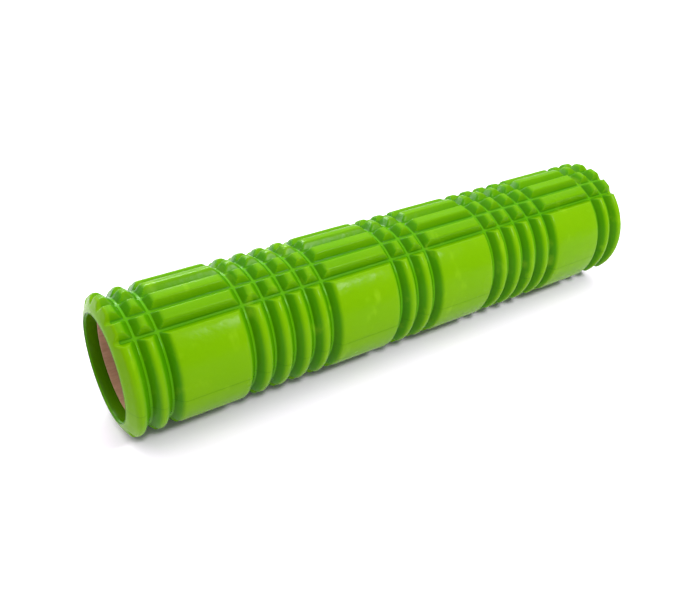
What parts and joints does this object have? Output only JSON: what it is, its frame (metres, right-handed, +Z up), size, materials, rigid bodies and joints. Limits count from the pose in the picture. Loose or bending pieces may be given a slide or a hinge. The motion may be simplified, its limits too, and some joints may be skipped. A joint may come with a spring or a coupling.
{
  "type": "foam roller",
  "caption": "Long cylindrical massage roller: a rigid hollow tube inside a green foam sleeve moulded with rings, smooth pads, lengthwise ribs and small blocks.",
  "frame": {"origin": "on the floor under the middle of the roller, as it lies at rest", "axes": "+X along the roller, +Z up through the middle of one ribbed band, +Y towards one smooth band"},
  "size_m": [0.61, 0.1348, 0.1345],
  "materials": {
    "eva_foam": "moulded EVA foam, satin skin",
    "tube_board": "pinkish brown, spiral streaks, matt"
  },
  "bodies": {
    "root": {"foam_sleeve": "eva_foam", "core_tube": "tube_board"}
  },
  "joints": []
}
